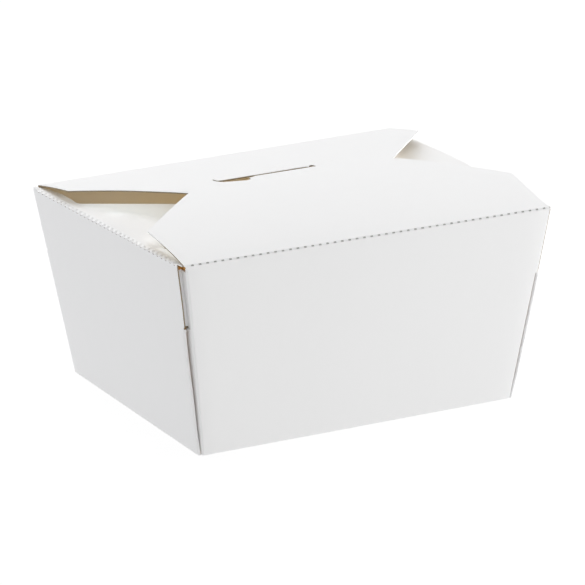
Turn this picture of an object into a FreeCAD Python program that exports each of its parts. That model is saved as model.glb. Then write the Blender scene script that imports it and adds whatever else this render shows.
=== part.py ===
import FreeCAD, Part
import os

# Folding food carton: tapered tray folded from one sheet of paperboard, with web corners
# folded flat inside the end walls, two end flaps, a back flap with a locking slot, and a
# front flap whose tongue locks down into that slot.
# Frame: origin at the centre of the base's underside, +X along the length, +Z up,
# the front wall faces -Y. Millimetres.

V = FreeCAD.Vector
doc = FreeCAD.newDocument("food_carton")

# ---------------------------------------------------------------- driving dimensions
DIMS = [
    ("board", 0.46, "thickness of the sheet"),
    ("top_len", 131.4, "outer length at the rim"),
    ("top_dep", 103.8, "outer depth at the rim"),
    ("bot_len", 110.9, "outer length at the base"),
    ("bot_dep", 89.2, "outer depth at the base"),
    ("height", 63.5, "height of the tray to the rim"),
    # web corners and the raw edges of the end walls
    ("web_top", 40.0, "width of a folded web just under the rim"),
    ("web_bot", 1.2, "width of a folded web at the base"),
    ("web_drop", 1.5, "how far the webs stop below the rim"),
    ("notch_z", 42.2, "height of the corner notch"),
    ("raw_top", 3.4, "set-back of the end wall's raw edge at the rim"),
    ("raw_low", 2.0, "set-back of the end wall's raw edge at the notch"),
    # outline shared by the front and the back flap
    ("flap_half", 64.6, "half width of both long flaps"),
    ("side_len", 23.5, "straight side edge of both long flaps"),
    ("shoulder_half", 29.4, "half width of the narrow end of both long flaps"),
    # front flap: height of its mid surface over the rim at stations from the fold
    ("ff_gap", 0.10, "clearance of the front flap over the rim"),
    ("ff_s1", 8.0, "station 1"), ("ff_z1", 2.02, "height 1"),
    ("ff_s2", 16.0, "station 2"), ("ff_z2", 3.67, "height 2"),
    ("ff_s3", 23.5, "station 3"), ("ff_z3", 4.94, "height 3"),
    ("ff_s4", 32.0, "station 4"), ("ff_z4", 6.06, "height 4"),
    ("ff_s5", 40.0, "station 5"), ("ff_z5", 6.79, "height 5"),
    ("ff_s6", 46.0, "station 6"), ("ff_z6", 7.30, "height 6"),
    ("ff_s7", 50.0, "station 7"), ("ff_z7", 7.45, "height 7"),
    ("ff_s8", 53.5, "station 8"), ("ff_z8", 7.25, "height 8"),
    ("ff_s9", 56.2, "station 9"), ("ff_z9", 6.72, "height 9"),
    ("ff_end", 58.3, "where the front flap reaches the slot"), ("ff_zend", 6.46, "height there"),
    # locking tongue: follows an arc about the front fold, so that it swings out of the slot
    ("tongue_r", 59.08, "radius of the tongue's mid surface about the front fold"),
    ("tongue_low", 6.0, "how far the tongue reaches below the rim"),
    ("neck_half", 11.6, "half width of the tongue's neck"),
    ("head_half", 15.0, "half width of the tongue's head"),
    ("head_top", 4.2, "top of the head over the rim"),
    ("head_cut", 5.0, "corner cut at the head's end"),
    ("skew", 1.5, "how much shorter the left shoulder is than the right one"),
    # back flap: height of its mid surface over the rim at stations from the fold
    ("bf_s1", 4.0, "station 1"), ("bf_z1", 0.95, "height 1"),
    ("bf_s2", 12.0, "station 2"), ("bf_z2", 2.32, "height 2"),
    ("bf_s3", 23.6, "station 3"), ("bf_z3", 3.93, "height 3"),
    ("bf_s4", 32.0, "station 4"), ("bf_z4", 4.85, "height 4"),
    ("bf_s5", 40.0, "station 5"), ("bf_z5", 5.48, "height 5"),
    ("bf_s6", 46.0, "station 6"), ("bf_z6", 5.84, "height 6"),
    ("bf_s7", 52.0, "station 7"), ("bf_z7", 6.07, "height 7"),
    ("bf_end", 60.0, "length of the back flap from its fold"), ("bf_zend", 6.18, "height there"),
    # slot in the back flap, with both ends hooked towards the back
    ("slot_front", 6.35, "front edge of the slot"),
    ("slot_back", 7.95, "back edge of the slot"),
    ("slot_half", 22.0, "half length of the slot"),
    ("hook", 3.4, "depth of the hooked ends"),
    # end flaps
    ("ef_len", 42.0, "length of an end flap from its fold"),
    ("ef_half", 28.5, "half width of an end flap"),
    ("ef_strip", 5.6, "width of the strip left along the rim beside the flap"),
    ("ef_tilt", 8.5, "slope of the end flaps down into the box, degrees"),
    ("ef_drop", 0.40, "depth of the end flaps' fold below the rim"),
]

sheet = doc.addObject("Spreadsheet::Sheet", "dims")
for row, (alias, value, note) in enumerate(DIMS, 1):
    sheet.set("A%d" % row, note)
    sheet.set("B%d" % row, str(value))
    sheet.setAlias("B%d" % row, alias)
doc.recompute()


class Size:
    """A length that knows both its number and its formula on the sheet."""

    def __init__(self, value, formula):
        self.value, self.formula = float(value), formula

    @staticmethod
    def of(x):
        return x if isinstance(x, Size) else Size(x, repr(float(x)))

    def _mix(self, other, sign, number):
        return Size(number, "(%s %s %s)" % (self.formula, sign, other.formula))

    def __add__(self, o):
        o = Size.of(o)
        return self._mix(o, "+", self.value + o.value)

    def __sub__(self, o):
        o = Size.of(o)
        return self._mix(o, "-", self.value - o.value)

    def __mul__(self, o):
        o = Size.of(o)
        return self._mix(o, "*", self.value * o.value)

    def __truediv__(self, o):
        o = Size.of(o)
        return self._mix(o, "/", self.value / o.value)

    def __radd__(self, o):
        return Size.of(o) + self

    def __rsub__(self, o):
        return Size.of(o) - self

    def __rmul__(self, o):
        return Size.of(o) * self

    def __neg__(self):
        return Size(-self.value, "(-1 * %s)" % self.formula)


def root(x):
    return Size(x.value ** 0.5, "sqrt(%s)" % x.formula)


D = {alias: Size(value, "dims." + alias) for alias, value, note in DIMS}
T, H = D["board"], D["height"]


def plane(body, role):
    return [f for f in body.Origin.OriginFeatures if f.Role == role][0]


def sketch(body, name, role, loops, lift=None):
    """Sketch of closed polygons on one of the body's own origin planes, every corner bound
    to the sheet; lift moves the sketch along the plane's normal."""
    sk = body.newObject("Sketcher::SketchObject", name)
    sk.AttachmentSupport = [(plane(body, role), "")]
    sk.MapMode = "FlatFace"
    if lift is not None:
        lift = Size.of(lift)
        sk.AttachmentOffset = FreeCAD.Placement(V(0, 0, lift.value), FreeCAD.Rotation())
        sk.setExpression("AttachmentOffset.Base.z", lift.formula)
    for loop in loops:
        pts = [(Size.of(a), Size.of(b)) for a, b in loop]
        n = len(pts)
        ids = []
        for i in range(n):
            a, b = pts[i], pts[(i + 1) % n]
            ids.append(sk.addGeometry(Part.LineSegment(V(a[0].value, a[1].value, 0), V(b[0].value, b[1].value, 0)), False))
        for i in range(n):
            sk.addConstraint(Sketch_c("Coincident", ids[i], 2, ids[(i + 1) % n], 1))
        for i in range(n):
            for kind, size, axis in (("DistanceX", pts[i][0], -2), ("DistanceY", pts[i][1], -1)):
                if abs(size.value) < 1e-9:
                    sk.addConstraint(Sketch_c("PointOnObject", ids[i], 1, axis))
                else:
                    k = sk.addConstraint(Sketch_c(kind, -1, 1, ids[i], 1, size.value))
                    sk.setExpression("Constraints[%d]" % k, size.formula)
    return sk


import Sketcher

Sketch_c = Sketcher.Constraint


def rect(x0, x1, y0, y1):
    return [(x0, y0), (x1, y0), (x1, y1), (x0, y1)]


def pad(body, name, sk, length, midplane=False, reverse=False):
    f = body.newObject("PartDesign::Pad", name)
    f.Profile = sk
    f.Length = Size.of(length).value
    f.setExpression("Length", Size.of(length).formula)
    f.Midplane = midplane
    f.Reversed = reverse
    sk.Visibility = False
    doc.recompute()
    return f


def pocket(body, name, sk, length, reverse=False):
    before = body.Shape.Volume
    f = body.newObject("PartDesign::Pocket", name)
    f.Profile = sk
    f.Length = Size.of(length).value
    f.setExpression("Length", Size.of(length).formula)
    f.Reversed = reverse
    doc.recompute()
    print("cut %-22s removes %9.2f mm3" % (name, before - body.Shape.Volume))
    assert before - body.Shape.Volume > 1e-3, name
    return f


def loft(body, name, low, high, cut=False):
    f = body.newObject("PartDesign::SubtractiveLoft" if cut else "PartDesign::AdditiveLoft", name)
    f.Profile = low
    f.Sections = [high]
    f.Ruled = True
    doc.recompute()
    return f


# ---------------------------------------------------------------- tapered tray with webs
def half_len(z):
    return D["bot_len"] / 2 + (D["top_len"] - D["bot_len"]) / 2 * Size.of(z) / H


def half_dep(z):
    return D["bot_dep"] / 2 + (D["top_dep"] - D["bot_dep"]) / 2 * Size.of(z) / H


tray = doc.addObject("PartDesign::Body", "tray")
o0 = sketch(tray, "outer_base", "XY_Plane", [rect(-half_len(0), half_len(0), -half_dep(0), half_dep(0))])
o1 = sketch(tray, "outer_rim", "XY_Plane", [rect(-half_len(H), half_len(H), -half_dep(H), half_dep(H))], H)
loft(tray, "outer_form", o0, o1)
i0 = sketch(tray, "inner_base", "XY_Plane",
            [rect(-(half_len(T) - T), half_len(T) - T, -(half_dep(T) - T), half_dep(T) - T)], T)
i1 = sketch(tray, "inner_rim", "XY_Plane",
            [rect(-(half_len(H) - T), half_len(H) - T, -(half_dep(H) - T), half_dep(H) - T)], H)
loft(tray, "hollow", i0, i1, cut=True)

# each web: two layers of board lying against the end wall's inner face, widening upwards
zw0, zw1 = T / 2, H - D["web_drop"]
zr = H + 0.0
for ex, sx in (("left", -1), ("right", 1)):
    for ey, sy in (("front", -1), ("back", 1)):
        def corner(z, w):
            xo, yo = half_len(z) - T / 2, half_dep(z) - T / 2
            xs = (sx * xo, sx * (half_len(z) - 3 * T))
            ys = (sy * yo, sy * (half_dep(z) - w))
            return [(xs[0], ys[0]), (xs[1], ys[0]), (xs[1], ys[1]), (xs[0], ys[1])]
        a = sketch(tray, "web_low_%s_%s" % (ex, ey), "XY_Plane", [corner(zw0, D["web_bot"])], zw0)
        b = sketch(tray, "web_high_%s_%s" % (ex, ey), "XY_Plane", [corner(zw1, D["web_top"])], zw1)
        loft(tray, "web_%s_%s" % (ex, ey), a, b)

# above the notch the end wall's outer layer stops short of the corner with a raw edge
for ex, sx in (("left", -1), ("right", 1)):
    for ey, sy in (("front", -1), ("back", 1)):
        def setback(z, w):
            xs = (sx * (half_len(z) - T), sx * (half_len(z) + 2))
            ys = (sy * (half_dep(z) - w), sy * (half_dep(z) + 2))
            return [(xs[0], ys[0]), (xs[1], ys[0]), (xs[1], ys[1]), (xs[0], ys[1])]
        ztop = H + 2
        a = sketch(tray, "raw_low_%s_%s" % (ex, ey), "XY_Plane", [setback(D["notch_z"], D["raw_low"])], D["notch_z"])
        b = sketch(tray, "raw_top_%s_%s" % (ex, ey), "XY_Plane", [setback(ztop, D["raw_top"])], ztop)
        loft(tray, "raw_edge_%s_%s" % (ex, ey), a, b, cut=True)


# ---------------------------------------------------------------- bowed long flaps
def strip(stations, y_of):
    """Closed outline in the YZ plane of a bowed sheet given by its mid surface."""
    low = [(y_of(s), H + z - T / 2) for s, z in stations]
    high = [(y_of(s), H + z + T / 2) for s, z in stations]
    return low + high[::-1]


back = doc.addObject("PartDesign::Body", "back_flap")
bs = [(D["bf_s%d" % k], D["bf_z%d" % k]) for k in range(1, 8)] + [(D["bf_end"], D["bf_zend"])]
y_back = D["top_dep"] / 2
low = [(y_back - s, H + z - T / 2) for s, z in bs]
high = [(y_back - s, H + z + T / 2) for s, z in bs]
outline = [(y_back - 0.04, H - 0.3), (y_back - T, H - 0.3), (y_back - T, H)] + low + high[::-1] + [(y_back - 0.04, H + 0.3)]
pad(back, "bowed_sheet", sketch(back, "bow", "YZ_Plane", [outline]), D["flap_half"] * 2, midplane=True)
y_tip = y_back - D["side_len"]
y_end = y_back - D["bf_end"]
keep = [(-D["flap_half"], y_back + 2), (-D["flap_half"], y_tip), (-D["shoulder_half"], y_end - 0.5),
        (D["shoulder_half"], y_end - 0.5), (D["flap_half"], y_tip), (D["flap_half"], y_back + 2)]
frame_ = rect(-D["flap_half"] - 6, D["flap_half"] + 6, y_end - 6, y_back + 6)
pocket(back, "outline_cut", sketch(back, "outline", "XY_Plane", [frame_, keep], H + D["bf_z3"] - 0.5), 12, reverse=True)
sh, sf, sb, hk = D["slot_half"], D["slot_front"], D["slot_back"], D["hook"]
right_side = [(sh - 5, sf), (sh - 1.5, sf - 0.3), (sh - 0.1, sf + 0.6), (sh + 0.1, sf + hk - 0.2), (sh - 0.4, sf + hk - 0.2),
              (sh - 0.7, sf + 1.2), (sh - 1.8, sf + 0.5), (sh - 5, sf + 1.1), (sh - 9, sb)]
left_side = [(-x, y) for x, y in right_side][::-1]
pocket(back, "slot_cut", sketch(back, "slot", "XY_Plane", [right_side + left_side], H + D["bf_z3"] - 0.5), 12, reverse=True)

# ---------------------------------------------------------------- end flaps
ends = []
for side, sx in (("left", -1), ("right", 1)):
    ef = doc.addObject("PartDesign::Body", "end_flap_" + side)
    hv, st, el, eh = D["top_dep"] / 2 - 0.9, D["ef_strip"], D["ef_len"], D["ef_half"]
    half = [(0.0, hv), (2.0, hv - 0.6), (3.6, hv - 9.0), (st - 0.7, eh + 3.2), (st, eh + 1.2), (st + 1.4, eh + 0.2),
            (el - 3.0, eh - 1.2), (el - 0.9, eh - 2.1), (el, eh - 4.2)]
    poly = half + [(x, -y) for x, y in half[::-1]]
    pad(ef, "sheet_" + side, sketch(ef, "flat_" + side, "XY_Plane", [poly]), T)
    # the fold lies along the rim; the flap slopes down into the box
    turn = FreeCAD.Rotation(V(0, 1, 0), D["ef_tilt"].value)
    if sx > 0:
        turn = FreeCAD.Rotation(V(0, 0, 1), 180).multiply(turn)
    ef.Placement = FreeCAD.Placement(V(sx * D["top_len"].value / 2, 0, H.value - D["ef_drop"].value), turn)
    ef.setExpression("Placement.Base.x", "%d * dims.top_len / 2" % sx)
    ef.setExpression("Placement.Base.z", "dims.height - dims.ef_drop")
    ends.append(ef)

carton = doc.addObject("Part::MultiFuse", "carton")
carton.Shapes = [tray, back] + ends
carton.Label = "carton"

# ---------------------------------------------------------------- front flap
front = doc.addObject("PartDesign::Body", "front_flap")
front.Label = "front_flap"
y_front = -(D["top_dep"] / 2)
g = D["ff_gap"]
fs = [(D["ff_s%d" % k], D["ff_z%d" % k]) for k in range(1, 10)] + [(D["ff_end"], D["ff_zend"])]
low = [(y_front + s, H + z - T / 2) for s, z in fs]
high = [(y_front + s, H + z + T / 2) for s, z in fs]


def arc_y(r, dz):
    """Depth of the point of the arc of radius r about the front fold, dz over the fold."""
    return y_front + root(r * r - dz * dz)


r_in, r_out = D["tongue_r"] - T / 2, D["tongue_r"] + T / 2
zt = D["tongue_low"]
down = [(arc_y(r_out, D["ff_zend"] * k - g), H + D["ff_zend"] * k) for k in (0.9, 0.5)] + \
       [(arc_y(r_out, Size.of(0.0) - g), H), (arc_y(r_out, -zt / 2 - g), H - zt / 2), (arc_y(r_out, -zt - g), H - zt)]
up = [(arc_y(r_in, -zt - g), H - zt), (arc_y(r_in, -zt / 2 - g), H - zt / 2), (arc_y(r_in, Size.of(0.0) - g), H),
      (arc_y(r_in, D["ff_zend"] * 0.5 - g), H + D["ff_zend"] * 0.5), (arc_y(r_in, D["ff_zend"] * 0.86 - g), H + D["ff_zend"] * 0.86)]
# the fold's upper edge is set back, so that the flap can turn past upright
profile = [(y_front, H + g)] + low + up[::-1] + down[::-1] + high[::-1] + [(y_front + 0.28, H + g + T)]
pad(front, "bowed_front", sketch(front, "front_bow", "YZ_Plane", [profile]), D["flap_half"] * 2, midplane=True)
y_tip = y_front + D["side_len"]
y_sh = y_front + D["ff_end"]
nh = D["neck_half"]
sk_ = D["skew"]
right_edge = [(D["flap_half"], y_tip), (D["shoulder_half"], y_sh), (nh + 3.2, y_sh), (nh + 1.8, y_sh - 1.0), (nh + 0.7, y_sh - 1.2),
              (nh, y_sh - 0.4), (nh, y_sh + 3)]
left_edge = [(-nh, y_sh + 3), (-nh, y_sh - 0.6), (-nh - 1.0, y_sh - 1.1), (-nh - 2.8, y_sh - 2.0), (-nh - 5.8, y_sh - sk_ - 1.1),
             (-nh - 10.6, y_sh - sk_ - 0.5), (-nh - 13.0, y_sh - sk_), (-D["shoulder_half"], y_sh - sk_), (-D["flap_half"], y_tip)]
keep = [(D["flap_half"], y_front - 2)] + right_edge + left_edge + [(-D["flap_half"], y_front - 2)]
frame_ = rect(-D["flap_half"] - 6, D["flap_half"] + 6, y_front - 6, y_sh + 8)
pocket(front, "front_outline_cut", sketch(front, "front_outline", "XY_Plane", [frame_, keep], H + D["head_top"]), 12, reverse=True)
hh = D["head_half"]
pocket(front, "head_sides_cut", sketch(front, "head_sides", "XY_Plane",
       [rect(hh, D["flap_half"] + 6, 0, y_sh + 8), rect(-D["flap_half"] - 6, -hh, 0, y_sh + 8)], H + D["head_top"]), 20)
hc = D["head_cut"]
tri = [(hh + 1, H - zt - 1), (hh + 1, H - zt + hc + 1), (hh - hc - 1, H - zt - 1)]
pocket(front, "head_corner_cut", sketch(front, "head_corners", "XZ_Plane", [tri, [(-x, y) for x, y in tri]], Size.of(-4.0)), 8)
doc.recompute()

# ---------------------------------------------------------------- checks and output
for obj in doc.Objects:
    bad = [s for s in obj.State if s in ("Invalid", "Error")]
    assert not bad, (obj.Name, obj.State)
nodes = [carton, front]
for obj in nodes:
    shape = obj.Shape
    assert not shape.isNull() and shape.isValid(), obj.Label
    bb = shape.BoundBox
    print("%-12s solids %d faces %d volume %.1f mm3 box x %.2f..%.2f y %.2f..%.2f z %.2f..%.2f" % (
        obj.Label, len(shape.Solids), len(shape.Faces), shape.Volume, bb.XMin, bb.XMax, bb.YMin, bb.YMax, bb.ZMin, bb.ZMax))
    assert len(shape.Solids) == 1, obj.Label
os.makedirs("parts", exist_ok=True)
for obj in nodes:
    obj.Shape.exportStep("parts/%s.step" % obj.Label)
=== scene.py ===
import bpy
import math
import numpy as np
from mathutils import Matrix, Vector
from mathutils.geometry import delaunay_2d_cdt


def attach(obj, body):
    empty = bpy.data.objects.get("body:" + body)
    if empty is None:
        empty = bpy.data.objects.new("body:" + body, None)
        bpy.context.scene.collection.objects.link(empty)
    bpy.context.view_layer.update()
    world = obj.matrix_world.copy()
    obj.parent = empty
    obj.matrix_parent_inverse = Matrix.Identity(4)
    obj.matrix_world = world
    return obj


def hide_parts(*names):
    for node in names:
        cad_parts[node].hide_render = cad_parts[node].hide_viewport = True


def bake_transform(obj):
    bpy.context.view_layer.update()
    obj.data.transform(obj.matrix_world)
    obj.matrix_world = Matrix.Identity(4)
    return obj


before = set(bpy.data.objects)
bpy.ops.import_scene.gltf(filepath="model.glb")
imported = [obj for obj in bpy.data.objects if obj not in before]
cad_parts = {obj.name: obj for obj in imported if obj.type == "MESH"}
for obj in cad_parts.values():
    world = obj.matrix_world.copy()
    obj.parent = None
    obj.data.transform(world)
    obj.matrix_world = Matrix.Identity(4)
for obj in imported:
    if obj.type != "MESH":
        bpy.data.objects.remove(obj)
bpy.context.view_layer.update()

# ------------------------------------------------------------------ dimensions, millimetres
T = 0.46
H = 63.5
TOP_L, TOP_D, BOT_L, BOT_D = 130.5, 103.8, 110.9, 89.2
PITCH = 2.75          # perforation pitch
RIM = 0.9             # the folds at the rim are pieces of their own, from this far below it


def hl(z):
    return BOT_L / 2 + (TOP_L - BOT_L) / 2 * z / H


def hd(z):
    return BOT_D / 2 + (TOP_D - BOT_D) / 2 * z / H


# the real box stands a little out of square: how far each corner is off, (x, y, z)
RACK = {(-1, -1, 1): (0.50, 0.0, 0.39), (1, -1, 1): (0.0, 0.0, 0.12), (-1, 1, 1): (-0.40, 0.0, -1.05), (1, 1, 1): (0.30, 0.0, 0.15),
        (-1, -1, 0): (-0.80, -0.90, 0.0), (1, -1, 0): (0.15, -0.30, 0.0), (-1, 1, 0): (0.90, 1.30, 0.0), (1, 1, 0): (0.0, 0.5, 0.0)}


def smooth(t):
    t = min(1.0, max(0.0, t))
    return t * t * (3 - 2 * t)


def spring(y):
    """Height by which the right end flap lifts its fold, along the fold."""
    return 1.0 * smooth((y + 22) / 26) * (1 - 0.55 * smooth((y - 10) / 28)) * (1 - smooth((y - 45) / 5))


def rack(v):
    x, y, z = v
    w = min(max(z / H, 0.0), 1.0)
    a = min(max(x / hl(w * H), -1.0), 1.0)
    b = min(max(y / hd(w * H), -1.0), 1.0)
    d = [0.0, 0.0, 0.0]
    for (i, j, k), m in RACK.items():
        f = (1 + i * a) / 2 * (1 + j * b) / 2 * (w if k else 1 - w)
        for c in range(3):
            d[c] += f * m[c]
    if x > 61.0 and z > 46.0:
        d[2] += spring(y) * smooth((x - 61.0) / 3.2) * smooth((z - 46.0) / 16.0) * (1 - smooth((z - 64.0) / 0.6))
    return (x + d[0], y + d[1], z + d[2])


def link(o):
    bpy.context.scene.collection.objects.link(o)
    return o


def make_mesh(name, verts, faces, mats, face_mat=None, smooth=True, angle=38.0):
    me = bpy.data.meshes.new(name)
    verts = [rack(v) for v in verts]
    me.from_pydata([(v[0] * 0.001, v[1] * 0.001, v[2] * 0.001) for v in verts], [], [tuple(int(i) for i in f) for f in faces])
    for m in mats:
        me.materials.append(m)
    if face_mat is not None:
        me.polygons.foreach_set("material_index", [int(i) for i in face_mat])
    me.polygons.foreach_set("use_smooth", [bool(smooth)] * len(me.polygons))
    me.validate()
    me.update()
    if smooth:
        me.set_sharp_from_angle(angle=math.radians(angle))
    o = bpy.data.objects.new(name, me)
    return link(o)


# ------------------------------------------------------------------ materials
def new_mat(name):
    m = bpy.data.materials.new(name)
    m.use_nodes = True
    nt = m.node_tree
    for n in list(nt.nodes):
        nt.nodes.remove(n)
    out = nt.nodes.new("ShaderNodeOutputMaterial")
    bs = nt.nodes.new("ShaderNodeBsdfPrincipled")
    nt.links.new(bs.outputs["BSDF"], out.inputs["Surface"])
    return m, nt, bs


def board(name, base, rough, spec, mottle, bump, tint=0.01):
    """Paperboard: a faint cloudy mottle, long fibres along the height and a fine tooth."""
    m, nt, bs = new_mat(name)
    tc = nt.nodes.new("ShaderNodeTexCoord")
    mp = nt.nodes.new("ShaderNodeMapping")
    mp.inputs["Scale"].default_value = (1.0, 1.0, 0.22)
    nt.links.new(tc.outputs["Object"], mp.inputs["Vector"])
    cloud = nt.nodes.new("ShaderNodeTexNoise")
    cloud.inputs["Scale"].default_value = 260.0
    cloud.inputs["Detail"].default_value = 3.0
    cloud.inputs["Roughness"].default_value = 0.55
    nt.links.new(mp.outputs["Vector"], cloud.inputs["Vector"])
    big = nt.nodes.new("ShaderNodeTexNoise")
    big.inputs["Scale"].default_value = 38.0
    big.inputs["Detail"].default_value = 2.0
    nt.links.new(mp.outputs["Vector"], big.inputs["Vector"])
    both = nt.nodes.new("ShaderNodeMath")
    both.operation = "ADD"
    nt.links.new(cloud.outputs["Fac"], both.inputs[0])
    nt.links.new(big.outputs["Fac"], both.inputs[1])
    ramp = nt.nodes.new("ShaderNodeMapRange")
    ramp.inputs["From Min"].default_value = 0.6
    ramp.inputs["From Max"].default_value = 1.4
    ramp.inputs["To Min"].default_value = 1.0 - mottle
    ramp.inputs["To Max"].default_value = 1.0 + mottle
    nt.links.new(both.outputs[0], ramp.inputs["Value"])
    mul = nt.nodes.new("ShaderNodeVectorMath")
    mul.operation = "SCALE"
    mul.inputs[0].default_value = base
    nt.links.new(ramp.outputs["Result"], mul.inputs["Scale"])
    nt.links.new(mul.outputs["Vector"], bs.inputs["Base Color"])
    bs.inputs["Roughness"].default_value = rough
    bs.inputs["Specular IOR Level"].default_value = spec
    fine = nt.nodes.new("ShaderNodeTexNoise")
    fine.inputs["Scale"].default_value = 1500.0
    fine.inputs["Detail"].default_value = 2.0
    nt.links.new(mp.outputs["Vector"], fine.inputs["Vector"])
    addb = nt.nodes.new("ShaderNodeMath")
    addb.operation = "MULTIPLY_ADD"
    addb.inputs[1].default_value = 0.35
    nt.links.new(fine.outputs["Fac"], addb.inputs[0])
    nt.links.new(cloud.outputs["Fac"], addb.inputs[2])
    bp = nt.nodes.new("ShaderNodeBump")
    bp.inputs["Strength"].default_value = bump
    bp.inputs["Distance"].default_value = 0.00012
    nt.links.new(addb.outputs[0], bp.inputs["Height"])
    nt.links.new(bp.outputs["Normal"], bs.inputs["Normal"])
    return m


WHITE = board("board_white", (0.955, 0.955, 0.955), 0.52, 0.30, 0.006, 0.25)
INNER = board("board_inner", (0.92, 0.855, 0.745), 0.70, 0.15, 0.010, 0.30)
EDGE = board("board_cut_edge", (0.34, 0.275, 0.19), 0.90, 0.05, 0.10, 0.5)
# Flat grey for the walls and bottoms of the perforation dashes: painted shade of the holes, darker than the board's own
# white.
PIT_SHADE_GREY = board("board_pit_painted_shade", (0.60, 0.595, 0.58), 0.95, 0.03, 0.05, 0.5)
CORE = board("board_core_brown", (0.62, 0.33, 0.10), 0.95, 0.03, 0.08, 0.5)


# ------------------------------------------------------------------ flat outlines bent along a path
class Path:
    """A smooth path in a plane: points (b, z) with arc length and normal on the outer side."""

    def __init__(self, pts, n=1200):
        p = np.asarray(pts, float)
        d = np.r_[0, np.cumsum(np.hypot(*np.diff(p, axis=0).T))]
        t = np.linspace(0, d[-1], n)
        q = np.c_[self._curve(d, p[:, 0], t), self._curve(d, p[:, 1], t)]
        self.s = np.r_[0, np.cumsum(np.hypot(*np.diff(q, axis=0).T))]
        self.q = q
        g = np.gradient(q, axis=0)
        g /= np.hypot(g[:, 0], g[:, 1])[:, None]
        self.nrm = np.c_[-g[:, 1], g[:, 0]]
        self.length = self.s[-1]

    @staticmethod
    def _curve(x, y, t):
        """Monotone-friendly cubic through the points."""
        h = np.diff(x)
        dl = np.diff(y) / h
        m = np.zeros_like(y)
        m[1:-1] = (dl[:-1] * h[1:] + dl[1:] * h[:-1]) / (h[:-1] + h[1:])
        m[0], m[-1] = dl[0] * 1.5 - m[1] * 0.5, dl[-1] * 1.5 - m[-2] * 0.5
        k = np.clip(np.searchsorted(x, t) - 1, 0, len(h) - 1)
        u = (t - x[k]) / h[k]
        return ((2 * u ** 3 - 3 * u ** 2 + 1) * y[k] + (u ** 3 - 2 * u ** 2 + u) * h[k] * m[k]
                + (-2 * u ** 3 + 3 * u ** 2) * y[k + 1] + (u ** 3 - u ** 2) * h[k] * m[k + 1])

    def at(self, s):
        return np.array([np.interp(s, self.s, self.q[:, 0]), np.interp(s, self.s, self.q[:, 1])])

    def normal(self, s):
        v = np.array([np.interp(s, self.s, self.nrm[:, 0]), np.interp(s, self.s, self.nrm[:, 1])])
        return v / np.linalg.norm(v)

    def s_of(self, b):
        """Arc length at the first place where the path crosses the value b after its fold."""
        q = self.q[:, 0]
        k = np.where((q[:-1] - b) * (q[1:] - b) <= 0)[0]
        k = k[0]
        f = (b - q[k]) / (q[k + 1] - q[k] + 1e-12)
        return self.s[k] + f * (self.s[k + 1] - self.s[k])


def inside(pt, poly):
    x, y = pt
    c = False
    n = len(poly)
    for i in range(n):
        x1, y1 = poly[i]
        x2, y2 = poly[(i + 1) % n]
        if (y1 > y) != (y2 > y) and x < (x2 - x1) * (y - y1) / (y2 - y1) + x1:
            c = not c
    return c


def densify(poly, step, s_marks):
    """Splits long edges, and every edge where it crosses one of the marked path lengths."""
    out = []
    n = len(poly)
    for i in range(n):
        a, b = np.array(poly[i], float), np.array(poly[(i + 1) % n], float)
        L = np.linalg.norm(b - a)
        ts = set(np.linspace(0, 1, max(1, int(math.ceil(L / step))) + 1)[:-1])
        if abs(b[1] - a[1]) > 1e-6:
            for s in s_marks:
                t = (s - a[1]) / (b[1] - a[1])
                if 0.02 / max(L, 1e-6) < t < 1 - 0.02 / max(L, 1e-6):
                    ts.add(t)
        last = None
        for t in sorted(ts):
            if last is not None and (t - last) * L < 0.04:
                continue
            out.append(tuple(a + (b - a) * t))
            last = t
        if len(out) > 1 and np.linalg.norm(np.array(out[-1]) - b) < 0.03:
            out.pop()
    return out


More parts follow.
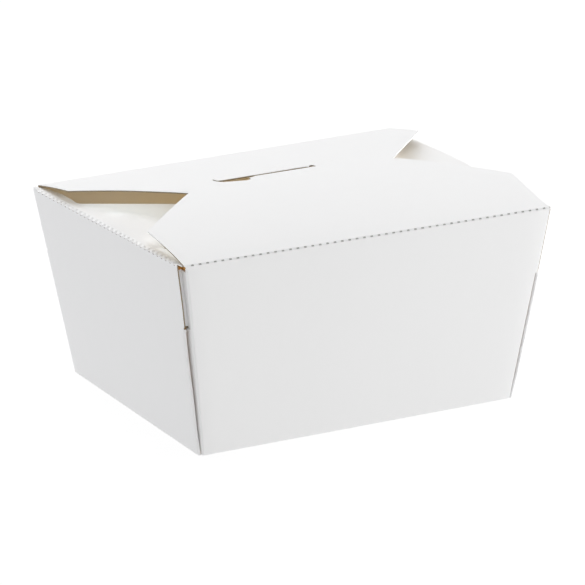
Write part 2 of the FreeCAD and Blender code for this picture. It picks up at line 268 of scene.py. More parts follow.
def plate(name, outline, holes, path, s_marks, to_xyz, step=3.0, thick=T, mats=None, warp=None, half_step=None, coat=0.34, pit=None):
    """Closed sheet: a flat outline (a, s) laid along the path; a runs along the fold, s along the path."""
    loops = [densify(outline, step, s_marks)] + [densify(h, 0.9, []) for h in holes]
    pts, edges = [], []
    for lp in loops:
        base = len(pts)
        pts += lp
        edges += [(base + i, base + (i + 1) % len(lp)) for i in range(len(lp))]
    arr = np.array(pts)
    a0, a1 = arr[:, 0].min(), arr[:, 0].max()
    seg_a = arr[[e[0] for e in edges]]
    seg_b = arr[[e[1] for e in edges]]
    na = int(round((a1 - a0) / (half_step or step)))
    for s in s_marks:
        for a in np.linspace(a0, a1, na + 1):
            p = np.array([a, s])
            d = seg_b - seg_a
            t = np.clip(((p - seg_a) * d).sum(1) / (d * d).sum(1), 0, 1)
            dist = np.hypot(*(seg_a + d * t[:, None] - p).T).min()
            if dist < 0.18:
                continue
            if not inside(p, outline) or any(inside(p, h) for h in holes):
                continue
            pts.append((a, s))
    v, e, f, *_ = delaunay_2d_cdt([Vector(p) for p in pts], edges, [], 0, 1e-7)
    P = np.array([tuple(q) for q in v])
    tris = []
    for tri in f:
        c = P[list(tri)].mean(0)
        if inside(c, outline) and not any(inside(c, h) for h in holes):
            q = P[list(tri)]
            area = 0.5 * ((q[1][0] - q[0][0]) * (q[2][1] - q[0][1]) - (q[1][1] - q[0][1]) * (q[2][0] - q[0][0]))
            if abs(area) < 1e-7:
                continue
            tris.append(tuple(tri) if area > 0 else tuple(tri)[::-1])
    inner_tris = []
    if pit is not None:
        for tri in f:
            c = P[list(tri)].mean(0)
            if any(inside(c, h) for h in holes):
                q = P[list(tri)]
                area = 0.5 * ((q[1][0] - q[0][0]) * (q[2][1] - q[0][1]) - (q[1][1] - q[0][1]) * (q[2][0] - q[0][0]))
                if abs(area) > 1e-7:
                    inner_tris.append(tuple(tri) if area > 0 else tuple(tri)[::-1])
    used = sorted({i for t in tris + inner_tris for i in t})
    idx = {o: n for n, o in enumerate(used)}
    tris = [tuple(idx[i] for i in t) for t in tris]
    inner_tris = [tuple(idx[i] for i in t) for t in inner_tris]
    P = P[used]
    n = len(P)
    top, bot = [], []
    for a, s in P:
        b = path.at(s)
        nn = path.normal(s)
        if warp is not None:
            b = b + nn * warp(a, s)
        top.append(to_xyz(a, *(b + nn * thick / 2)))
        bot.append(to_xyz(a, *(b - nn * thick / 2)))
    # the cut edge: the white coat rolls over its upper part, the core shows below
    sides = {}
    for t in tris:
        for k in range(3):
            ed = (t[k], t[(k + 1) % 3])
            sides[ed] = sides.get(ed, 0) + 1
    pit_sides = {(t[k], t[(k + 1) % 3]) for t in inner_tris for k in range(3)}
    free = [ed for ed in sides if (ed[1], ed[0]) not in sides]
    rim = [ed for ed in free if (ed[1], ed[0]) not in pit_sides]
    verts = top + bot
    mid = {}
    sunk = {}
    for q in sorted({i for t in inner_tris for i in t}):
        sunk[q] = len(verts)
        verts.append(tuple(np.array(top[q]) * (1 - pit) + np.array(bot[q]) * pit))
    for i, j in rim:
        for q in (i, j):
            if q not in mid:
                mid[q] = len(verts)
                cc = coat(*P[q]) if callable(coat) else coat
                verts.append(tuple(np.array(top[q]) * (1 - cc) + np.array(bot[q]) * cc))
    faces = [t for t in tris] + [(t[2] + n, t[1] + n, t[0] + n) for t in tris]
    fm = [0] * len(tris) + [2] * len(tris)
    # Hole bottoms and walls take material 3, which the default list gives the grey of painted shade in the perforation
    # dashes.
    for t in inner_tris:
        faces.append((sunk[t[0]], sunk[t[1]], sunk[t[2]]))
        fm.append(3)
        faces.append((t[2] + n, t[1] + n, t[0] + n))
        fm.append(2)
    for i, j in free:
        if (j, i) in pit_sides:
            faces.append((j, i, sunk[i], sunk[j]))
            fm.append(3)
    for i, j in rim:
        faces.append((j, i, mid[i], mid[j]))
        fm.append(0)
        faces.append((mid[j], mid[i], i + n, j + n))
        fm.append(1)
    # outer side first: check the winding against the outer direction
    V0 = np.array([verts[i] for i in faces[0]])
    nrm = np.cross(V0[1] - V0[0], V0[2] - V0[0])
    c = P[list(tris[0])].mean(0)
    b = path.at(c[1])
    nn = path.normal(c[1])
    out_dir = np.array(to_xyz(c[0], *(b + nn))) - np.array(to_xyz(c[0], *b))
    if nrm @ out_dir < 0:
        faces = [f_[::-1] for f_ in faces]
    return make_mesh(name, verts, faces, mats or [WHITE, EDGE, INNER, PIT_SHADE_GREY], fm)


# ------------------------------------------------------------------ tray
NOTCH = 42.2
# per corner: set-back of the raw edge above the notch, set-back of the folded bead below it, recess of the web, fold radius
LOOSE = dict(raw=([43.5, 49.3, 55.9, 61.0, H], [2.3, 2.45, 2.9, 3.3, 3.4]), bead=([0.0, 6.5, 19.7, 32.8, 43.0], [0.6, 0.77, 1.2, 2.1, 2.2]),
             web=1.45, web2=2.0, gap=1.3, slit=0.55, r=0.75, out=0.25)
TIGHT = dict(raw=([43.5, H], [0.9, 1.1]), bead=([0.0, 43.0], [0.15, 0.3]), web=0.55, web2=0.60, gap=0.9, slit=0.0, r=0.45, out=0.0)
RIGHT = dict(raw=([43.5, H], [0.45, 0.75]), bead=([0.0, 43.0], [0.10, 0.10]), web=0.55, web2=0.75, gap=0.9, slit=0.05, r=0.45, out=0.42)


def corner(z, hole=False, kind=LOOSE):
    """Outline round a corner at height z, from the front or back wall to the end wall: (p, q) are the
    distances in from the end wall's and from the front wall's outer face. With material numbers."""
    pts = []
    r = kind["r"]
    WEB = kind["web"]
    if z >= NOTCH:
        q = float(np.interp(z, *kind["raw"]))
        pf = kind["web2"]
        if hole:
            pf = kind["web2"] + 0.25
        cp = WEB + r
        for k in range(7):
            a = math.radians(90 * k / 6)
            pts.append((cp - r * math.sin(a), r - r * math.cos(a), 0))
        q_deep = q + kind["gap"]
        q1 = r + 0.35
        pts.append((pf if hole else WEB + (pf - WEB) * 0.15, q1, 3 if hole else 0))
        pts.append((pf if hole else WEB + (pf - WEB) * 0.55, (q1 + q) / 2 + 0.2, 3 if hole else 0))
        pts.append((pf, q_deep, 3 if hole else 0))
        pts.append((0.52, q_deep, 3 if hole else 0))
        pts.append((T, q, 3 if hole else 0))
        pts.append((T / 2, q - 0.02, 1))
        pts.append((0.06, q, 1))
        pts.append((0.0, q + 0.07, 0))
        pts.append((0.0, q + 0.5, 0))
        pts.append((0.0, q + 1.0, 0))
        pts.append((0.0, q + 1.6, 0))
        pts.append((0.0, q + 2.4, 0))
    else:
        q = float(np.interp(z, *kind["bead"]))
        pf = 2 * T + 0.05 + kind["slit"] * (0.25 + 0.75 * z / NOTCH)
        cp = pf + r
        for k in range(7):
            a = math.radians(90 * k / 6)
            pts.append((cp - r * math.sin(a), (r - r * math.cos(a)) * min(1.0, (q + 0.35) / r), 0))
        y0 = r * min(1.0, (q + 0.35) / r)
        q_deep = q + 1.35 + kind["slit"] * 1.5
        pts.append((pf, y0 + (q_deep - y0) * 0.3, 0))
        pts.append((pf, y0 + (q_deep - y0) * 0.65, 0))
        pts.append((pf, q_deep, 3))
        out = kind["out"] * min(1.0, max(0.0, (NOTCH - z) / 1.5)) * min(1.0, z / 8.0)
        pts.append((2 * T - 0.06 - out, q_deep, 3))
        rb = T - 0.03
        for a_ in (0, 45, 90, 135, 180):
            a = math.radians(a_)
            pts.append((T - out + rb * math.cos(a), q + rb - rb * math.sin(a), 0))
        if kind is LOOSE:
            pts.append((0.40 - out * 0.6, q + 0.95, 0))
            pts.append((0.12 - out * 0.3, q + 1.22, 0))
            pts.append((0.0, q + 1.75, 0))
        else:
            pts.append((0.10 - out * 0.6, q + 0.98, 0))
            pts.append((0.045 - out * 0.3, q + 1.5, 0))
            pts.append((0.0, q + 2.3, 0))
    return pts


NC = len(corner(20))
assert len(corner(50)) == NC


def corner_in(z, hole=False, kind=LOOSE):
    """The same number of points on the inner side, three layers deep beside the corner."""
    q = float(np.interp(z, *kind["raw"])) if z >= NOTCH else float(np.interp(z, *kind["bead"])) + 0.5
    qe = q + kind["gap"] + 0.45
    p3 = 3 * T + 0.10 + kind["slit"]
    if kind is LOOSE:
        p3 = float(np.interp(z, [34.0, 42.0], [p3, 2.5]))
    if z > H - RIM - 1.2:
        p3 = max(p3, 3.5)
    key = [(p3 + 2.0, T), (p3 + 1.0, T), (p3 + 0.3, T), (p3 + 0.05, T + 0.08), (p3, T + 0.3), (p3, qe * 0.6), (p3, qe),
           (p3 - 0.1, qe + 0.1), (T + 0.15, qe + 0.12), (T, qe + 0.3), (T, max(q + 2.4, qe + 0.8))]
    key = np.array(key)
    d = np.r_[0, np.cumsum(np.hypot(*np.diff(key, axis=0).T))]
    t = np.linspace(0, d[-1], NC)
    return [(float(np.interp(v, d, key[:, 0])), float(np.interp(v, d, key[:, 1]))) for v in t]


NX, NY = 24, 20


def ring(z, cfun, inset=0.0, bow=None):
    """Closed outline of the tray at height z, anticlockwise from above, with a material number each."""
    L, W = hl(z) - inset, hd(z) - inset
    cl, cr, ct = cfun(z, LOOSE), cfun(z, RIGHT), cfun(z, TIGHT)
    pts, mt = [], []

    def put(sx, sy, seq):
        for item in seq:
            pts.append((sx * (L - item[0]), sy * (W - item[1])))
            mt.append(item[2] if len(item) > 2 else 0)

    def run(x0, y0, x1, y1, n):
        for k in range(1, n):
            t = k / n
            pts.append((x0 + (x1 - x0) * t, y0 + (y1 - y0) * t))
            mt.append(0)

    put(-1, -1, cl[::-1])
    run(-(L - cl[0][0]), -(W - cl[0][1]), L - cr[0][0], -(W - cr[0][1]), NX)
    put(1, -1, cr)
    run(L - cr[-1][0], -(W - cr[-1][1]), L - ct[-1][0], W - ct[-1][1], NY)
    put(1, 1, ct[::-1])
    run(L - ct[0][0], W - ct[0][1], -(L - ct[0][0]), W - ct[0][1], NX)
    put(-1, 1, ct)
    run(-(L - ct[-1][0]), W - ct[-1][1], -(L - cl[-1][0]), -(W - cl[-1][1]), NY)
    return pts, mt


def build_tray():
    verts, faces, fm = [], [], []
    rb = 0.18
    levels = []
    for k in range(5):
        a = math.radians(90 * k / 4)
        levels.append((rb - rb * math.cos(a), rb - rb * math.sin(a), lambda zz, kd: corner(zz, False, kd)))
    ztop = H - RIM
    z = rb
    for z in list(np.linspace(1.3, NOTCH - 1.5, 28)) + [NOTCH - 0.9, NOTCH - 0.5]:
        levels.append((z, 0.0, lambda zz, kd: corner(zz, False, kd)))

    def notch(zz, kd):
        out = corner(NOTCH + 0.05, False, kd)
        return [(p, q + (0.35 if k >= 10 else 0.0), 1 if k in (10, 11, 12) else m) for k, (p, q, m) in enumerate(out)]
    levels.append((NOTCH - 0.25, 0.0, lambda zz, kd: corner(NOTCH - 0.6, False, kd)))
    levels.append((NOTCH - 0.18, 0.0, notch))
    levels.append((NOTCH + 0.45, 0.0, notch))
    levels.append((NOTCH + 0.53, 0.0, lambda zz, kd: corner(NOTCH + 0.1, False, kd)))
    for z in list(np.linspace(NOTCH + 2.0, H - 2.7, 12)) + [H - 2.40]:
        levels.append((z, 0.0, lambda zz, kd: corner(zz, False, kd)))
    levels.append((H - 2.35, 0.0, lambda zz, kd: corner(zz, True, kd)))
    levels.append((ztop, 0.0, lambda zz, kd: corner(zz, True, kd)))
    rings = []
    for z, inset, fun in levels:
        pts, mt = ring(z, fun, inset)
        n = len(pts)
        rings.append((len(verts), mt))
        verts += [(x, y, z) for x, y in pts]
    for (b0, m0), (b1, m1) in zip(rings[:-1], rings[1:]):
        for i in range(n):
            j = (i + 1) % n
            faces.append((b0 + i, b0 + j, b1 + j, b1 + i))
            fm.append(m0[i] if (m0[i] in (3, 4) and m0[j] == m0[i]) else (1 if (m0[i] == 1 or m0[j] == 1) and z > 0 and m1[i] != 0 else 0))
    outer_top = rings[-1][0]
    # inner side, from the top down
    inner = []
    for z in [ztop] + list(np.linspace(H - 3.0, T + 0.5, 14)) + [T]:
        pts, _ = ring(z, lambda zz, kd: corner_in(zz, False, kd))
        inner.append(len(verts))
        verts += [(x, y, z) for x, y in pts]
    mt_top = rings[-1][1]
    for i in range(n):
        j = (i + 1) % n
        faces.append((outer_top + i, outer_top + j, inner[0] + j, inner[0] + i))
        fm.append(3 if 3 in (mt_top[i], mt_top[j]) else 1)
    for b0, b1 in zip(inner[:-1], inner[1:]):
        for i in range(n):
            j = (i + 1) % n
            faces.append((b0 + i, b0 + j, b1 + j, b1 + i))
            fm.append(2)
    # floor, both sides
    for base, up in ((rings[0][0], False), (inner[-1], True)):
        loop = list(range(base, base + n))
        P = [Vector((verts[i][0], verts[i][1])) for i in loop]
        v, e, f, *_ = delaunay_2d_cdt(P, [(i, (i + 1) % n) for i in range(n)], [], 0, 1e-7)
        poly = [tuple(p) for p in P]
        for tri in f:
            if max(tri) >= n:
                continue
            c = sum((P[i] for i in tri), Vector((0, 0))) / 3
            if not inside((c.x, c.y), poly):
                continue
            a, b, c3 = (P[i] for i in tri)
            area = (b - a).cross(c3 - a)
            t = tuple(base + i for i in tri)
            if (area > 0) != up:
                t = t[::-1]
            faces.append(t)
            fm.append(2 if up else 0)
    return make_mesh("carton_tray", verts, faces, [WHITE, EDGE, INNER, CORE, PIT_SHADE_GREY], fm, angle=32)


tray = build_tray()
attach(tray, "carton")
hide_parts("carton")

# ------------------------------------------------------------------ folded webs inside the end walls
for sx, sn in ((-1, "left"), (1, "right")):
    for sy, fn in ((-1, "front"), (1, "back")):
        z0, z1 = T + 0.05, H - 1.75
        w0, w1 = 1.3, 40.0
        p_out, p_in = T + 0.03, 3 * T - 0.02
        nz, nw = 12, 8
        vs, fs, fmm = [], [], []
        rows = []
        for layer in (p_out, p_in):
            for i in range(nz + 1):
                t = i / nz
                z = z0 + (z1 - z0) * t
                w = w0 + (w1 - w0) * t
                kd = LOOSE if (sx, sy) == (-1, -1) else (RIGHT if (sx, sy) == (1, -1) else TIGHT)
                q0 = float(np.interp(z, *kd["raw"])) if z > NOTCH else float(np.interp(z, *kd["bead"])) + 0.5
                q0 = q0 + kd["gap"] + 0.5
                q0 = min(q0, w - 0.3)
                for j in range(nw + 1):
                    u = j / nw
                    q = q0 + (w - q0) * u
                    p = layer
                    vs.append((sx * (hl(z) - p), sy * (hd(z) - q), z))
        m = (nz + 1) * (nw + 1)

        def vid(l, i, j):
            return l * m + i * (nw + 1) + j
        quads = []
        for i in range(nz):
            for j in range(nw):
                quads.append(((vid(0, i, j), vid(0, i, j + 1), vid(0, i + 1, j + 1), vid(0, i + 1, j)), 2))
                quads.append(((vid(1, i, j), vid(1, i + 1, j), vid(1, i + 1, j + 1), vid(1, i, j + 1)), 2))
        for i in range(nz):
            quads.append(((vid(0, i, nw), vid(1, i, nw), vid(1, i + 1, nw), vid(0, i + 1, nw)), 2))
            quads.append(((vid(0, i, 0), vid(0, i + 1, 0), vid(1, i + 1, 0), vid(1, i, 0)), 2))
        for j in range(nw):
            quads.append(((vid(0, nz, j), vid(0, nz, j + 1), vid(1, nz, j + 1), vid(1, nz, j)), 1))
            quads.append(((vid(0, 0, j), vid(1, 0, j), vid(1, 0, j + 1), vid(0, 0, j + 1)), 1))
        if sx * sy < 0:
            quads = [(q_[::-1], mm) for q_, mm in quads]
        web = make_mesh("web_%s_%s" % (sn, fn), vs, [q_ for q_, mm in quads], [WHITE, EDGE, INNER], [mm for q_, mm in quads])
        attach(web, "carton")

# ------------------------------------------------------------------ rim fold shared by the end flaps and the back flap
def fold_path(wall_half, slope_in, tail, low=RIM):
    """Mid line from the wall over the rim: (b, z), b is the outward distance from the centre. It leaves the wall
    slope_in per unit height, turns in a small bend, and goes on through the tail points (u inward, dz over the rim)."""
    r = 0.38
    pts = [(wall_half - T / 2 - slope_in * low, H - low), (wall_half - T / 2 - slope_in * (r + 0.12), H - r - 0.12 - T / 2)]
    u0, dz0 = tail[0]
    cx, cz = wall_half - T / 2 - r, H - T / 2 - r
    for a_ in (15, 40, 65):
        a = math.radians(a_)
        pts.append((cx + r * math.cos(a), cz + r * math.sin(a)))
    for u, dz in tail:
        pts.append((wall_half - u, H + dz))
    return pts


# end flaps: flat, sloping down into the box
SL_END = (TOP_L - BOT_L) / 2 / H
EF_LEN, EF_HALF, EF_STRIP = 42.0, 27.9, 4.3
for sx, sn in ((-1, "left"), (1, "right")):
    rise = 0.0 if sx < 0 else 0.6
    tail = [(u, -T / 2 - 0.02 - math.tan(math.radians(8.5)) * (u - 0.75) + rise * min(1.0, u / 1.6) * (1 if u < 4 else math.exp(-(u - 4) / 14)))
            for u in (0.95, 1.6, 3.0, 8.0, 14.0, 20.0, 34.0, EF_LEN)]
    pth = Path([(b * -1, z) for b, z in fold_path(TOP_L / 2, SL_END, tail)])
    hv = TOP_D / 2
    s_top = pth.s_of(-(TOP_L / 2 - 0.45))
    def s_u(u):
        return pth.s_of(-(TOP_L / 2 - u))
    eh = EF_HALF if sx < 0 else EF_HALF + 3.3

    def side(q_raw, strip):
        """One side of the flap from the wall up: the raw edge, a narrow strip beside the rim, the flap's own side edge."""
        return [(hv - q_raw - 0.05, 0.0), (hv - q_raw, s_top - 0.12), (hv - max(0.75, q_raw - 2.6), s_top), (hv - 1.3, s_u(1.7)), (hv - 3.6, s_u(strip - 1.6)), (eh + 13.0, s_u(strip)),
                (eh + 6.0, s_u(strip - 0.2)), (eh + 2.8, s_u(strip - 0.6)), (eh + 1.4, s_u(strip - 0.7)), (eh + 0.5, s_u(strip - 0.3)),
                (eh, s_u(strip + 0.8)), (eh - 0.8, s_u(EF_LEN - 4.0)), (eh - 1.6, s_u(EF_LEN - 1.4)), (eh - 4.0, s_u(EF_LEN) - 0.05)]
    q_front = 3.4 if sx < 0 else 0.9
    outline = side(1.1, 5.4) + [(-a, t_) for a, t_ in side(q_front, 6.4)[::-1]]
    holes = []
    k0 = int((hv - 3.0) / PITCH)
    s_c = pth.s_of(-(TOP_L / 2 - 0.30))
    for k in range(-k0, k0 + 1):
        a = k * PITCH
        if a > hv - 2.3 or a < -(hv - q_front - 1.2):
            continue
        w = 0.50
        holes.append([(a - w, s_c - 0.26), (a + w, s_c - 0.26), (a + w, s_c + 0.12), (a - w, s_c + 0.12)])
    marks = list(np.linspace(0.0, s_top - 0.2, 3)[1:]) + list(np.linspace(s_top - 0.05, s_top + 0.9, 7)) + \
        [s_u(u) for u in (2.0, 3.2, 5.0, 7.5, 11, 15, 20, 25, 30, 35, 39)]

    def warp(a, s, sx=sx, s0=s_top):
        """The right end flap follows its lifted fold."""
        return 0.0 if sx < 0 else spring(a) * smooth((s - s0 - 1.4) / 3.2)
    ef = plate("end_flap_" + sn, outline, holes, pth, marks, lambda a, b, z, sx=sx: (sx * -b, a, z), step=2.75, warp=warp, pit=0.7)
    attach(ef, "carton")

# back flap: bowed, with the locking slot
SL_LONG = (TOP_D - BOT_D) / 2 / H
TIP_B, SH_HALF, FLAP_HALF = 23.6, 29.4, 64.4
bf_tail = [(0.9, 0.12), (2.2, 0.46), (4.0, 0.79), (8.0, 1.54), (12.0, 2.23), (18.0, 3.17), (23.6, 3.95), (28.0, 4.49), (32.0, 4.92),
           (36.0, 5.30), (40.0, 5.58), (46.0, 5.90), (52.0, 6.12), (60.0, 6.20)]
bpath = Path([(-b, z) for b, z in fold_path(TOP_D / 2, SL_LONG, bf_tail)])


def sb(y):
    return bpath.s_of(-y)


y_tip_b = TOP_D / 2 - TIP_B
outline_b = [(-FLAP_HALF + 1.6, 0.0), (-FLAP_HALF + 1.3, sb(51.2)), (-FLAP_HALF + 0.7, sb(y_tip_b)), (-SH_HALF, sb(-8.0)),
             (SH_HALF, sb(-8.0)), (FLAP_HALF - 1.2, sb(y_tip_b)), (FLAP_HALF - 0.75, sb(51.2)), (FLAP_HALF - 0.9, 0.0)]
slot_poly = [(-22.3, 10.4), (-22.5, 9.0), (-22.3, 7.4), (-21.4, 6.0), (-19.6, 3.9), (-17.8, 2.4), (-15.8, 1.4), (-14.2, 1.1), (-13.2, 2.0), (-12.3, 4.2), (12.2, 4.3),
             (12.9, 4.6), (18.0, 4.6), (21.4, 4.7), (22.2, 5.2), (22.0, 5.9), (18.0, 6.0), (13.6, 6.0), (13.1, 6.4), (12.9, 7.6), (12.6, 8.5), (11.9, 8.6),
             (11.3, 8.3), (10.9, 7.3), (10.5, 7.3), (10.1, 8.0), (6.0, 8.1), (-6.0, 7.95), (-12.0, 7.85),
             (-20.0, 7.75), (-21.4, 8.0), (-21.7, 9.0), (-21.7, 10.4)]
hole_b = [(x, sb(y)) for x, y in slot_poly]
marks_b = list(np.linspace(0.0, sb(51.4), 4)[1:]) + list(np.linspace(sb(51.4) + 0.12, sb(50.6), 5)) + \
    [sb(y) for y in (49.5, 47, 44, 40, 36, 32, 28.3, 24, 20, 16, 13, 11, 9.5, 8, 7, 5.5, 4, 2, 0, -3, -6)]


def roll_b(a, s):
    """The back flap is rolled a little about its length: the right tip rides higher than the left one."""
    t = a / 64.0
    f = min(1.0, max(0.0, (s - 1.2) / 22.0))
    g = 1.0 if s < sb(y_tip_b) else max(0.0, 1.0 - (s - sb(y_tip_b)) / 26.0)
    return (1.00 * max(0.0, t) ** 1.5 - 0.10 * max(0.0, -t)) * f * (0.25 + 0.75 * g)


bflap = plate("back_flap", outline_b, [hole_b], bpath, marks_b, lambda a, b, z: (a, -b, z), step=3.0, warp=roll_b, coat=lambda a, t_: 1.0 if a > 20.0 else 0.34)
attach(bflap, "carton")

# front flap: bowed, with the tongue going down through the slot
YF = -TOP_D / 2
ff = [(0.62, 0.0), (1.2, 0.16), (3.0, 0.66), (5.5, 1.38), (8.0, 2.02), (12.0, 2.88), (16.0, 3.67), (20.0, 4.39), (23.5, 4.95), (28.0, 5.58), (32.0, 6.06),
      (36.0, 6.46), (40.0, 6.79), (43.0, 6.98), (46.0, 7.12), (48.5, 7.16), (50.5, 7.13), (52.5, 7.02), (54.5, 6.84), (56.3, 6.62), (57.4, 6.47),
      (58.15, 6.28), (58.55, 5.95), (58.72, 5.5), (58.86, 4.3), (59.0, 2.8), (59.06, 1.2), (59.04, -1.0), (58.9, -3.2), (58.66, -5.6)]
fpath = Path([(YF + s, H + dz) for s, dz in ff], 2400)


def sf(y):
    return fpath.s_of(y)


s_end = fpath.length
y_tip_f = YF + 23.5
s_sh = sf(YF + 58.2)
s_shl = sf(YF + 54.9)
NH, HH = 11.6, 14.8
s_shr = sf(YF + 57.5)
half_r = [(HH - 4.0, s_end), (HH, s_end - 4.2), (HH, s_sh + 3.2), (NH + 0.9, s_sh + 2.2), (NH, s_sh + 1.4), (NH, s_sh + 0.2), (NH + 0.2, s_sh - 0.9),
          (NH + 0.9, s_sh - 1.5), (NH + 1.9, s_shr - 0.6), (NH + 2.6, s_shr), (SH_HALF - 2.4, s_shr + 0.5), (SH_HALF - 1.2, s_shr + 0.4), (SH_HALF, s_shr - 0.5),
          (64.4, sf(y_tip_f)), (63.8, sf(YF + 14.0)), (63.6, sf(YF + 6.0)), (64.2, 0.0)]
NL = 9.3
half_l = [(-64.35, 0.0), (-64.6, sf(y_tip_f)), (-SH_HALF - 1.8, s_shl - 0.9), (-SH_HALF - 0.2, s_shl + 0.1), (-24.5, s_shl - 0.1), (-21.8, s_shl - 0.9), (-18.8, s_shl - 2.0),
          (-15.8, s_shl - 3.2), (-14.2, s_shl - 3.1), (-13.1, s_shl - 1.6), (-12.5, s_shl + 0.8), (-NL, s_sh - 0.6), (-NL, s_sh + 1.4), (-NH - 0.9, s_sh + 2.2),
          (-HH, s_sh + 3.2), (-HH, s_end - 4.2), (-HH + 4.0, s_end)]
marks_f = [0.35, 0.9] + [sf(YF + u) for u in (2, 4, 7, 10, 13.5, 17, 20.5, 23.5, 27, 30, 33, 36, 39, 42, 44.5, 47, 49, 51, 52.5, 54, 55.3, 56.4, 57.2)] + \
    list(np.linspace(sf(YF + 57.7), sf(YF + 58.2) + 1.4, 9)) + [s_end - d for d in (9.5, 8, 6.5, 5, 3.5, 2, 1)]


def dip_f(a, s):
    """The neck dips into the slot, and the right shoulder rides up on the back flap."""
    f = smooth((s - (s_sh - 6.5)) / 5.0)
    neck = 1.0 - smooth((abs(a) - 11.0) / 3.0)
    right_sh = smooth((a - 12.5) / 2.5)
    g = 1.0 - smooth((s - s_sh - 0.4) / 1.5)
    return (-0.34 * neck + 0.12 * right_sh) * f * g


def coat_f(a, s):
    """How far the white coat rolls over the cut edge: least beside the fold at the left end."""
    if a < -50.0:
        return 0.25 + 0.70 * smooth((s - 9.0) / 10.0)
    return 1.0 if a > 14.0 else 0.6


fflap = plate("front_flap_sheet", half_l + half_r, [], fpath, marks_f, lambda a, b, z: (a, b, z), step=3.0, warp=dip_f, coat=coat_f)
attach(fflap, "front_flap")
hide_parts("front_flap")

# perforated fold between the front wall and the front flap: a fixed bent strip, not attached to a body
r = 0.40
fold = [(YF + T / 2 + SL_LONG * RIM, H - RIM), (YF + T / 2 + SL_LONG * 0.62, H - 0.62), (YF + T / 2 + 0.01, H - 0.30)]
fold += [(YF + T / 2 + 0.01, H - 0.42), (YF + T / 2 + 0.08, H - 0.22), (YF + T / 2 + 0.20, H - 0.09), (YF + 0.62, H + 0.0), (YF + 1.2, H + 0.16)]
gpath = Path(fold)
g1 = gpath.s_of(YF + 0.62)
outline_g = [(-63.6, 0.0), (-63.8, 0.5), (-64.35, g1), (64.35, g1), (64.4, 0.5), (64.4, 0.0)]
gh = []
FRONT_PITCH = 2.58
s_c = float(np.interp(H - 0.23, gpath.q[:, 1], gpath.s))
kf = int(62.4 / FRONT_PITCH)
for k in range(-kf, kf + 1):
    a = k * FRONT_PITCH + 0.37
    w = 0.45
    gh.append([(a - w, s_c - 0.12), (a + w, s_c - 0.12), (a + w, s_c + 0.22), (a - w, s_c + 0.22)])
marks_g = list(np.linspace(0.12, gpath.length - 0.1, 9))
gstrip = plate("front_fold", outline_g, gh, gpath, [m for m in marks_g if m < g1 - 0.05], lambda a, b, z: (a, b, z), step=2.75, coat=0.8, pit=0.7)
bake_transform(gstrip)

# ------------------------------------------------------------------ floor, light, camera
fl = bpy.data.meshes.new("floor")
fl.from_pydata([(-6, -6, 0), (6, -6, 0), (6, 6, 0), (-6, 6, 0)], [], [(0, 1, 2, 3)])
floor = link(bpy.data.objects.new("floor", fl))
floor.location.z = -0.00002
fmat, fnt, fbs = new_mat("floor_white")
fbs.inputs["Base Color"].default_value = (0.15, 0.15, 0.15, 1)
fbs.inputs["Roughness"].default_value = 0.9
fbs.inputs["Specular IOR Level"].default_value = 0.0
fbs.inputs["Emission Color"].default_value = (1, 1, 1, 1)
fbs.inputs["Emission Strength"].default_value = 0.893
fl.materials.append(fmat)

scene = bpy.context.scene
scene.view_settings.view_transform = "Standard"
world = bpy.data.worlds.new("studio")
scene.world = world
world.use_nodes = True
bg = world.node_tree.nodes.get("Background")
bg.inputs["Color"].default_value = (1.0, 1.0, 1.0, 1)
bg.inputs["Strength"].default_value = 0.150


def area(name, loc, target, size, power, color=(1, 1, 1)):
    l = bpy.data.lights.new(name, "AREA")
    l.shape = "RECTANGLE"
    l.size, l.size_y = size
    l.energy = power
    l.color = color
    o = link(bpy.data.objects.new(name, l))
    o.location = loc
    o.rotation_euler = (Vector(target) - Vector(loc)).to_track_quat("-Z", "Y").to_euler()
    return o


area("overhead", (0.1, 0.1, 1.3), (0, 0, 0), (1.6, 1.6), 12.157, (1.0, 1.0, 1.0))
area("behind", (-0.1, 1.3, 0.9), (0, 0, 0.05), (1.4, 0.8), 9.669, (1.0, 0.995, 0.99))
area("right_near", (0.60, -0.20, 0.15), (0.06, -0.05, 0.03), (0.40, 0.30), 2.539, (0.996, 1.0, 0.999))
area("front", (0.2, -1.6, 0.6), (0, 0, 0.03), (1.2, 0.8), 1.167, (1.0, 0.979, 0.963))
area("left", (-0.55, 0.45, 0.35), (-0.05, 0, 0.04), (0.5, 0.4), 0.470, (0.84, 0.87, 1.0))

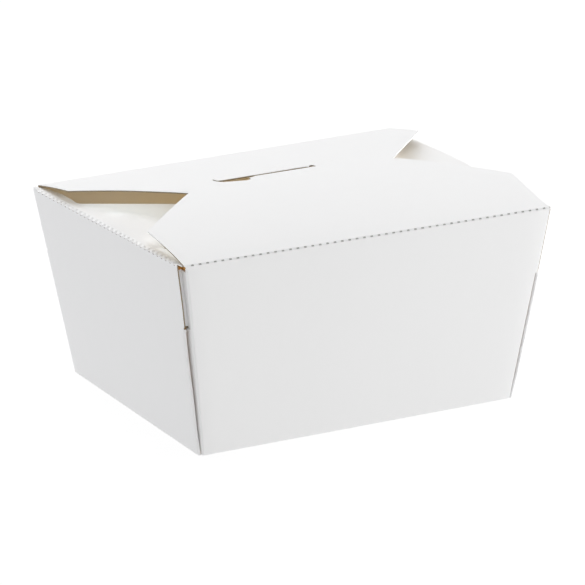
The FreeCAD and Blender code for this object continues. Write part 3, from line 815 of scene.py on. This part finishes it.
glow = bpy.data.lights.new("inside", "POINT")
glow.energy = 0.0108
glow.color = (1.000, 0.750, 0.313)
glow.shadow_soft_size = 0.02
link(bpy.data.objects.new("inside", glow)).location = (0.0, 0.0, 0.030)

# light that the white boards throw back and forth in the narrow gaps under the lid
for k, (x0, x1, y0, y1, z, power, tint) in enumerate((
        (-60, -24, 20, 39, 0.7, 1.45, (0.84, 0.93, 1.0)), (-56, -24, 12, 20, 1.2, 1.45, (0.84, 0.93, 1.0)), (-49, -20, 4, 12, 1.4, 1.20, (0.88, 0.95, 1.0)),
        (-43, -15, -4, 4, 1.4, 0.85, (0.9, 0.95, 1.0)), (-62, -50, -46, -29, 0.7, 1.30, (0.9, 0.96, 1.0)), (-60, -50, -28, -16, 0.9, 0.45, (0.9, 0.96, 1.0)),
        (28, 53, 8, 37, 1.3, 1.15, (1.0, 0.98, 0.94)), (53, 59, 20, 34, 1.7, 0.30, (1.0, 0.98, 0.94)))):
    under = area("under_lid_%d" % k, ((x0 + x1) / 2000, (y0 + y1) / 2000, (H + z) / 1000), ((x0 + x1) / 2000, (y0 + y1) / 2000, 0.0),
                 ((x1 - x0) / 1000, (y1 - y0) / 1000), power * (x1 - x0) * (y1 - y0) * 1e-6, tint)
    under.visible_camera = False

az, el, ro = math.radians(-28.2828), math.radians(17.7713), math.radians(-0.2773)
back = Vector((math.sin(az) * math.cos(el), -math.cos(az) * math.cos(el), math.sin(el)))
fwd = -back
right = Vector((math.cos(az), math.sin(az), 0))
up = right.cross(fwd)
rr = right * math.cos(ro) + up * math.sin(ro)
uu = -right * math.sin(ro) + up * math.cos(ro)
cam = bpy.data.cameras.new("camera")
cam.sensor_width = 36.0
cam.sensor_fit = "HORIZONTAL"
cam.lens = 4549.18 / 585 * 36.0
cam.clip_start, cam.clip_end = 0.1, 50.0
cam.dof.use_dof = False
camo = link(bpy.data.objects.new("camera", cam))
M = Matrix.Identity(4)
for i, v in enumerate((rr, uu, -fwd)):
    for j in range(3):
        M[j][i] = v[j]
M.translation = Vector((-0.65170, -1.21271, 0.47246))
camo.matrix_world = M
scene.camera = camo
